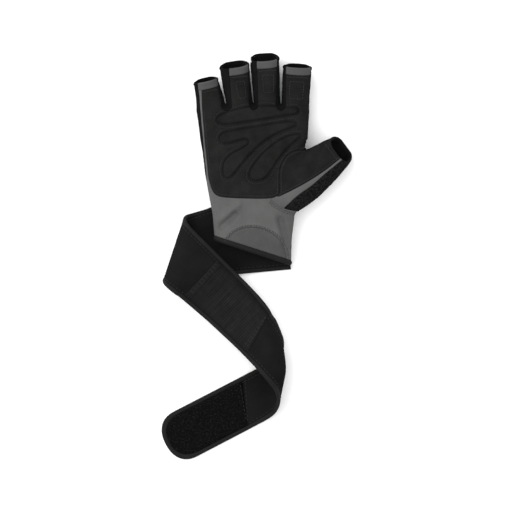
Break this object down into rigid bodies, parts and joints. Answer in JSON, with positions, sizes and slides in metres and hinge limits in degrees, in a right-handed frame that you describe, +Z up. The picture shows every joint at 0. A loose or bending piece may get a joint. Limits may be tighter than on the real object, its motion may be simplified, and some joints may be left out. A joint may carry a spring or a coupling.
{
  "type": "weightlifting glove",
  "caption": "Fingerless right-hand weightlifting glove lying palm up, with stitched palm pads, a grey cuff and a long wrist strap with a hook fastener end.",
  "frame": {"origin": "centre of the bounding box in plan, on the surface that the glove lies on", "axes": "+Y from the wrist towards the fingertips, +X towards the thumb, +Z up out of the palm"},
  "size_m": [0.1714, 0.3648, 0.038],
  "materials": {
    "leather": "matt suede",
    "grey_fabric": "matt stretch knit",
    "moon_fabric": "matt ribbed knit",
    "band_fabric": "matt stretch knit",
    "stretch_fabric": "matt stretch knit",
    "towelling": "looped towelling",
    "binding_tape": "woven tape",
    "strap_fabric": "brushed loop fabric on foam",
    "elastic": "ribbed elastic webbing",
    "hook_tape": "hook fastener tape"
  },
  "bodies": {
    "root": {"finger_hem_pinky": "stretch_fabric", "finger_hem_ring": "stretch_fabric", "finger_hem_middle": "stretch_fabric", "finger_hem_index": "stretch_fabric", "thumb_hem": "stretch_fabric", "back_panel": "stretch_fabric", "fourchette_pinky_ring": "stretch_fabric", "fourchette_ring_middle": "stretch_fabric", "fourchette_middle_index": "stretch_fabric", "finger_band_pinky": "band_fabric", "finger_band_ring": "band_fabric", "finger_band_middle": "band_fabric", "finger_band_index": "band_fabric", "palm_leather": "leather", "thumb_leather": "leather", "thumb_towel_panel": "towelling", "thumb_side_strip": "grey_fabric", "wrist_hem": "binding_tape", "half_moon_insert": "moon_fabric", "wrist_cuff": "grey_fabric", "knuckle_pad": "leather", "palm_pad": "leather", "thumb_side_pad": "leather", "strap_band": "strap_fabric", "strap_binding": "binding_tape", "elastic_webbing": "elastic", "hook_pad": "hook_tape"}
  },
  "joints": []
}
